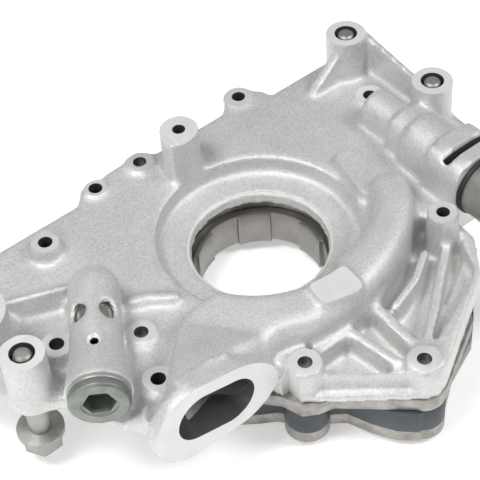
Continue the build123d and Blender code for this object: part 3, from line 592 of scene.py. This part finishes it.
class OILPUMP_OT_casting(bpy.types.Operator):
    """Rear housing: a rough casting grown from the model, then machined where the real one is"""

    bl_idname = "oilpump.casting"
    bl_label = "Rear housing casting"

    def execute(self, context):
        sizes = context.scene.pump_sizes
        colour = context.scene.pump_colours.cut_face
        skin = finish_named("cast_aluminium")
        milled = milled_face(colour)
        # A dark metal for the walls of the bores, the mouth, windows, vent and slots: painted shade
        # for the shadow deep inside them, where the real walls are bare aluminium
        bore_shade = metal("bore_painted_shade", (0.16, 0.155, 0.15), 0.7, (0.35, 0.5), (900.0, 0.00004))
        blank = tool_object("casting_blank", self.filled_housing())
        context.scene.collection.objects.link(blank)
        grow = self.skin_over(blank, sizes)
        grow.use_smooth_shade = True
        blank.data = baked(blank)
        self.slope_to_bore(blank.data)
        cut(blank, self.carvers())
        self.add_columns(blank.data)
        self.skin_over(blank, sizes)
        soften = blank.modifiers.new("soften", "SMOOTH")
        soften.factor = 0.5
        soften.iterations = sizes.cast_softness
        rough = baked(blank)
        blank.modifiers.clear()
        blank.data = rough
        rough.materials.clear()
        faced = milled_face(shade(colour, 0.88))
        for material in (skin, milled, bore_shade, faced):
            rough.materials.append(material)
        cut(blank, self.cutters(milled, bore_shade, faced))
        mesh = blank.data
        bpy.data.objects.remove(blank)
        piece = bpy.data.objects.new("rear_housing_casting", mesh)
        context.scene.collection.objects.link(piece)
        mesh.shade_smooth()
        mesh.set_sharp_from_angle(angle=math.radians(38))
        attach(piece, node_body("rear_housing"))
        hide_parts("rear_housing")
        return {"FINISHED"}

    def skin_over(self, blank, sizes):
        """Adds the modifier that grows one even skin over everything in the blank."""
        grow = blank.modifiers.new("skin", "REMESH")
        grow.mode = "VOXEL"
        grow.voxel_size = sizes.cast_detail
        return grow

    def filled_housing(self):
        """The housing with its holes filled, and with metal added where the photograph has more."""
        bm = merged_copy("rear_housing")
        for boss in BOSSES:
            head = 4.5 if boss.face_r > WIDE_FACE else 3.2
            cylinder(bm, (boss.x, boss.y, boss.top - 3), UP, boss.face_r, head, 48)
            cylinder(bm, (boss.x, boss.y, 2.5), UP, boss.hole_r + 1.0, boss.top - 1, 24)
        oval(bm, FLANGE_AT, 51, 34, 4, (0, 1, 0))
        prism(bm, PAD, 19, 26)
        cylinder(bm, (LEFT_BOSS.x, LEFT_BOSS.y, 2.5), UP, LEFT_BOSS.face_r, 15, 48)
        cylinder(bm, (-62.5, 48.2, 2.5), UP, 3.8, 9.8, 32)
        prism(bm, band(NECK, -4.5, 2.5), PASSAGE_FOOT, PASSAGE_TOP)
        prism(bm, SHOULDER, 4, 22.8)
        prism(bm, self.inner_wall(), PASSAGE_FOOT, PASSAGE_TOP)
        cylinder(bm, (SOLENOID_AT.x, 17.2, SOLENOID_AT.z), (0, -1, 0), 7.5, 18.5, 48)
        block(bm, (FLANGE_AT.x, -50.6, 27), (22, 4.4, 13.4))
        cylinder(bm, RELIEF_AT + valve_way() * 3.5, valve_way(), 11.7, 3)
        block(bm, (SOLENOID_AT.x, -40.75, 15), (24.4, 3.5, 20))
        return bm

    def inner_wall(self):
        """Outline of the thick inner wall of the inlet passage, beside the crank opening."""
        angles = [math.radians(222 + 7 * k) for k in range(10)]
        near = [(35.5 * math.cos(a), 35.5 * math.sin(a)) for a in angles]
        far = [(41.5 * math.cos(a), 41.5 * math.sin(a)) for a in reversed(angles)]
        return near + far

    def slope_to_bore(self, mesh):
        """Lets the passage slope down to the crank opening, and narrows the flange's right end."""
        back, left, right, foot = -46.5, -72, -36, 0.8
        for v in mesh.vertices:
            x, y, z = v.co / MM
            if y < back and left < x < right and z > foot:
                share = min(1.0, (back - y) / 5)
                v.co.z = (foot + (z - foot) * (1 - 0.0066 * (x - left) * share)) * MM
                continue
            reach = math.hypot(x, y)
            angle = math.degrees(math.atan2(y, x)) % 360
            if reach > 45 or z < 5 or not 195 < angle < 300:
                continue
            top = 5.2 + max(0.0, reach - 28.5) * 1.42 + max(0.0, angle - 276) * 0.9
            v.co.z = min(z, top) * MM

    def carvers(self):
        """Closed forms that take away cast metal: beside the neck, in the rim and at the foot."""
        bench = band(FOOT_EDGE, -6.0, 3.0, FOOT_SIDE)
        bar = band(between(FOOT_EDGE, 0.12, 0.88), -3.0, 7.2, FOOT_SIDE)
        carved = ((band(NECK, 0, 6.5), 14.0), (RIM_POCKET, 6.0), (bench, 3.0), (bar, 10.2))
        forms = [new_form(prism, outline, low, 40) for outline, low in carved]
        forms.append(new_form(cylinder, (-63.5, 50.5, 12.5), UP, 4.6, 4, 48))
        return [tool_object("carver", bm) for bm in forms]

    def add_columns(self, mesh):
        """Stands a column under each of the two bosses on the housing's foot."""
        bm = bmesh.new()
        bm.from_mesh(mesh)
        for boss in FOOT_BOSSES:
            cylinder(bm, (boss.x, boss.y, 0.5), UP, 6.4, 13.1, 48)
        bm.to_mesh(mesh)
        bm.free()

    def cutters(self, milled, bore_shade, faced):
        """Closed cutters for the machined faces, bores, windows and slots; the walls of the bores,
        mouth, windows, vent and slots take a dark material that is painted shade.
        """
        faces = bmesh.new()
        spots = bmesh.new()
        bores = bmesh.new()
        for x, y, top, face_r, hole_r, floor in BOSSES:
            if face_r > WIDE_FACE:
                cylinder(faces, (x, y, top), UP, face_r + 1.6, 8, 64)
            else:
                cylinder(spots, (x, y, top - 0.1), UP, face_r - 0.3, 8, 64)
            cylinder(bores, (x, y, floor), UP, hole_r, top + 3 - floor, 48)
        way = valve_way()
        vent_at = RELIEF_AT + way * RELIEF_VENT
        down = (0, -1, 0)
        groups = {
            faced: (
                spots,
                new_form(block, (FLANGE_AT.x, -62, FLANGE_AT.z), (60, 10, 44)),
            ),
            milled: (
                faces,
                new_form(cylinder, (0, 0, -2), UP, CRANK_R, 40, 128),
                new_form(cylinder, (0, 0, 4.2), UP, 27.3, 2, 128),
                new_form(block, (-3.8, -45.5, 28.5), (22, 20, 8)),
                new_form(block, (0, 0, -10), (300, 300, 20)),
                new_form(cylinder, RELIEF_AT - way * 10, way, 13.4, 15, 64),
                new_form(block, (SOLENOID_AT.x, -51, SOLENOID_AT.z), (34, 20, 44)),
                new_form(cylinder, vent_at + Vector((0, 0, 8.0)), UP, 1.4, 3, 32, 4.4),
                new_form(cylinder, (WING_BOSS.x, WING_BOSS.y, -6), UP, 9.6, 12.5, 64),
            ),
            # These cut walls take the dark bore material: painted shade inside the holes
            bore_shade: (
                bores,
                self.mouth(),
                new_form(cylinder, RELIEF_AT, way, 7.0, 46, 64),
                new_form(cylinder, RELIEF_AT, way, 8.02, 16, 64),
                self.windows(way),
                new_form(cylinder, vent_at, UP, 1.5, 16, 24),
                new_form(cylinder, (SOLENOID_AT.x, 4, SOLENOID_AT.z), down, 6.03, 60, 64),
                new_form(cylinder, (SOLENOID_AT.x, 14, SOLENOID_AT.z), down, 3.6, 14, 48),
                new_form(block, (SOLENOID_AT.x, -33, 24.75), (21.4, 2.8, 18.5)),
            ),
        }
        return [
            tool_object("cutter", bm, material)
            for material, group in groups.items()
            for bm in group
        ]

    def mouth(self):
        """The inlet's mouth: a tilted slot with round ends that tapers inwards."""
        bm = bmesh.new()
        for v in cylinder(bm, MOUTH_AT, (0, 1, 0), 9.9, 18, 64, 6.4):
            v.co.x += (MOUTH_STRETCH if v.co.x > MOUTH_AT[0] * MM else -MOUTH_STRETCH) * MM
        bmesh.ops.rotate(
            bm,
            verts=bm.verts,
            cent=Vector((MOUTH_AT[0], 0, MOUTH_AT[2])) * MM,
            matrix=Matrix.Rotation(MOUTH_TILT, 3, "Y"),
        )
        return bm

    def windows(self, way):
        """The relief valve's two windows, one to each side of its top, longer along the valve."""
        bm = bmesh.new()
        side = Vector((way.y, -way.x, 0))
        for tilt in (-38, 38):
            lean = math.radians(tilt)
            out = side * math.sin(lean) + UP * math.cos(lean)
            at = RELIEF_AT + way * RELIEF_WINDOWS + out * 2
            for v in cylinder(bm, at, out, 3.0, 16, 32):
                v.co += way * (v.co - at * MM).dot(way) * 0.26
        return bm


class OILPUMP_OT_stack(bpy.types.Operator):
    """Pump stack: port plate, dark body and cover, with their edges broken"""

    bl_idname = "oilpump.stack"
    bl_label = "Pump stack"

    def execute(self, context):
        ease = context.scene.pump_sizes.edge_ease
        for node in ("port_plate", "pump_body", "cover_plate"):
            eased(node, ease)
        return {"FINISHED"}


class OILPUMP_OT_rotor(bpy.types.Operator):
    """Drive rotor, vanes, slide ring with its seal and pivot pin"""

    bl_idname = "oilpump.rotor"
    bl_label = "Rotor and slide ring"

    def execute(self, context):
        ease = context.scene.pump_sizes.edge_ease
        eased("drive_rotor", ease * 0.8)
        eased("slide_ring", ease * 0.6)
        for number in range(1, 8):
            eased("vane_%d" % number, ease * 0.3)
        for node in ("slide_pivot_pin", "slide_seal"):
            eased(node, ease * 0.3)
        return {"FINISHED"}


class OILPUMP_OT_relief(bpy.types.Operator):
    """Relief valve: plug, washer and piston"""

    bl_idname = "oilpump.relief"
    bl_label = "Relief valve"

    def execute(self, context):
        ease = context.scene.pump_sizes.edge_ease
        plug = eased("relief_plug", ease * 1.2, 3)
        plug.data.materials[0] = metal(
            "plated_plug", (0.27, 0.285, 0.265), 0.8, (0.42, 0.60), (1200.0, 0.00006), (220.0, 0.18)
        )
        eased("relief_plug_washer", ease)
        eased("relief_piston", ease * 0.6)
        return {"FINISHED"}


class OILPUMP_OT_solenoid(bpy.types.Operator):
    """Solenoid valve: can, clip, connector and the pieces inside"""

    bl_idname = "oilpump.solenoid"
    bl_label = "Solenoid valve"

    def execute(self, context):
        ease = context.scene.pump_sizes.edge_ease
        for name in ("can", "seal_ring", "connector"):
            eased("solenoid_" + name, ease)
        clip = eased("solenoid_clip", ease)
        clip.data.materials[0] = moulded_plastic("phosphated_clip", (0.02, 0.02, 0.02))
        for name in ("sleeve", "spool", "plunger", "coil", "terminals"):
            eased("solenoid_" + name, ease * 0.4)
        rings = frame["nodes"]["solenoid_o_rings"]
        rings.data.materials[0] = finish_named("black_rubber")
        return {"FINISHED"}


class OILPUMP_OT_fasteners(bpy.types.Operator):
    """Mounting bolts, stack screws and dowels"""

    bl_idname = "oilpump.fasteners"
    bl_label = "Bolts and screws"

    def execute(self, context):
        ease = context.scene.pump_sizes.edge_ease
        for number in (1, 2, 3):
            eased("mounting_bolt_%d" % number, ease)
        eased("stack_screws", ease * 0.8)
        eased("dowel_pins", ease)
        return {"FINISHED"}


class OILPUMP_OT_springs(bpy.types.Operator):
    """Coil springs of round wire with closed ends"""

    bl_idname = "oilpump.springs"
    bl_label = "Springs"

    def execute(self, context):
        piece = self.spring("slide_spring", SPRING_AT, SPRING_WAY, 4.2, SPRING_LENGTH, 5, 1.2)
        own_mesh(piece)
        way = valve_way()
        seat = RELIEF_AT + way * 15
        piece = self.spring("relief_spring", seat, way, 4.4, 28.17, 6, 1.2)
        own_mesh(piece)
        down = Vector((0, -1, 0))
        seat = SOLENOID_AT + down * 3
        piece = self.spring("solenoid_spring", seat, down, 2.4, 12.0, 5, 0.8)
        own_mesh(piece)
        return {"FINISHED"}

    def spring(self, node, start, way, radius, length, turns, wire):
        """A coil of round wire, its first and last turns lying flat."""
        side = way.cross(UP)
        turned = Matrix((way, side, way.cross(side))).transposed().to_4x4()
        place = Matrix.Translation((start + way * wire / 2 + side * radius) * MM)
        bm = bmesh.new()
        ring = bmesh.ops.create_circle(
            bm,
            segments=bpy.context.scene.pump_sizes.wire_sides,
            radius=wire / 2 * MM,
            matrix=place @ turned,
        )["verts"]
        end = list({edge for v in ring for edge in v.link_edges})
        pitch = (length - 3 * wire) / turns
        for count, rise in ((1, wire), (turns, pitch), (1, wire)):
            spun = bmesh.ops.spin(
                bm,
                geom=end,
                cent=start * MM,
                axis=-way,
                dvec=way * rise / STEPS_PER_TURN * MM,
                angle=2 * math.pi * count,
                steps=count * STEPS_PER_TURN,
                use_merge=False,
            )
            end = [e for e in spun["geom_last"] if isinstance(e, bmesh.types.BMEdge)]
        open_edges = [edge for edge in bm.edges if edge.is_boundary]
        bmesh.ops.holes_fill(bm, edges=open_edges, sides=0)
        bmesh.ops.recalc_face_normals(bm, faces=bm.faces)
        steel = finish_named("spring_steel")
        return put(node + "_wire", bm, [steel], node_body(node), [node])


class OILPUMP_OT_stage(bpy.types.Operator):
    """Pale floor, soft studio lights and the camera"""

    bl_idname = "oilpump.stage"
    bl_label = "Stage"

    def execute(self, context):
        scene = context.scene
        self.floor(scene)
        world = bpy.data.worlds.new("studio")
        scene.world = world
        world.use_nodes = True
        world.node_tree.nodes["Background"].inputs["Color"].default_value = (1, 1, 1, 1)
        world.node_tree.nodes["Background"].inputs["Strength"].default_value = 0.27
        scene.view_settings.view_transform = "Standard"
        for light in LIGHTS:
            self.light(scene, *light)
        self.camera(scene)
        return {"FINISHED"}

    def floor(self, scene):
        """A pale floor that glows a little, under the pump's lowest point."""
        bm = bmesh.new()
        under = Matrix.Translation((0, 0, cad_box[0][2]))
        bmesh.ops.create_grid(bm, x_segments=2, y_segments=2, size=3.0, matrix=under)
        floor = tool_object("pale_floor", bm)
        scene.collection.objects.link(floor)
        mat, _, shader = shader_of("pale_floor")
        shader.inputs["Base Color"].default_value = (0.9, 0.9, 0.9, 1)
        shader.inputs["Roughness"].default_value = 0.9
        shader.inputs["Emission Color"].default_value = (1, 1, 1, 1)
        shader.inputs["Emission Strength"].default_value = 0.36
        floor.data.materials.append(mat)

    def light(self, scene, name, at, size, power):
        """A square soft light at a place, turned to the pump."""
        data = bpy.data.lights.new(name, "AREA")
        data.energy = power
        data.size = size
        lamp = bpy.data.objects.new(name, data)
        scene.collection.objects.link(lamp)
        lamp.location = at
        lamp.rotation_euler = (-Vector(at)).to_track_quat("-Z", "Y").to_euler()

    def camera(self, scene):
        """The photograph's camera."""
        camera = bpy.data.cameras.new("camera")
        camera.lens = 115.2
        camera.sensor_width = 36.0
        camera.clip_start = 0.01
        camera.clip_end = 20
        eye = bpy.data.objects.new("camera", camera)
        scene.collection.objects.link(eye)
        turn = Matrix((CAMERA_RIGHT, -CAMERA_DOWN, -CAMERA_AHEAD)).transposed().to_4x4()
        eye.matrix_world = Matrix.Translation(CAMERA_AT * MM) @ turn
        scene.camera = eye


class OILPUMP_PT_panel(bpy.types.Panel):
    """Lists the pump's pieces in the sidebar."""

    bl_idname = "OILPUMP_PT_panel"
    bl_label = "Oil Pump"
    bl_space_type = "VIEW_3D"
    bl_region_type = "UI"
    bl_category = "Oil Pump"

    def draw(self, context):
        layout = self.layout
        for group in (context.scene.pump_sizes, context.scene.pump_colours):
            for name in group.__annotations__:
                layout.prop(group, name)
        for step in STEPS:
            layout.operator(step.bl_idname)


STEPS = (
    OILPUMP_OT_casting,
    OILPUMP_OT_stack,
    OILPUMP_OT_rotor,
    OILPUMP_OT_relief,
    OILPUMP_OT_solenoid,
    OILPUMP_OT_fasteners,
    OILPUMP_OT_springs,
    OILPUMP_OT_stage,
)
CLASSES = (PumpSizes, PumpColours, *STEPS, OILPUMP_PT_panel)


def register():
    for cls in CLASSES:
        bpy.utils.register_class(cls)
    bpy.types.Scene.pump_sizes = bpy.props.PointerProperty(type=PumpSizes)
    bpy.types.Scene.pump_colours = bpy.props.PointerProperty(type=PumpColours)


def unregister():
    del bpy.types.Scene.pump_colours
    del bpy.types.Scene.pump_sizes
    for cls in reversed(CLASSES):
        bpy.utils.unregister_class(cls)


def main():
    register()
    bpy.ops.oilpump.casting()
    bpy.ops.oilpump.stack()
    bpy.ops.oilpump.rotor()
    bpy.ops.oilpump.relief()
    bpy.ops.oilpump.solenoid()
    bpy.ops.oilpump.fasteners()
    bpy.ops.oilpump.springs()
    bpy.ops.oilpump.stage()


if __name__ == "__main__":
    main()
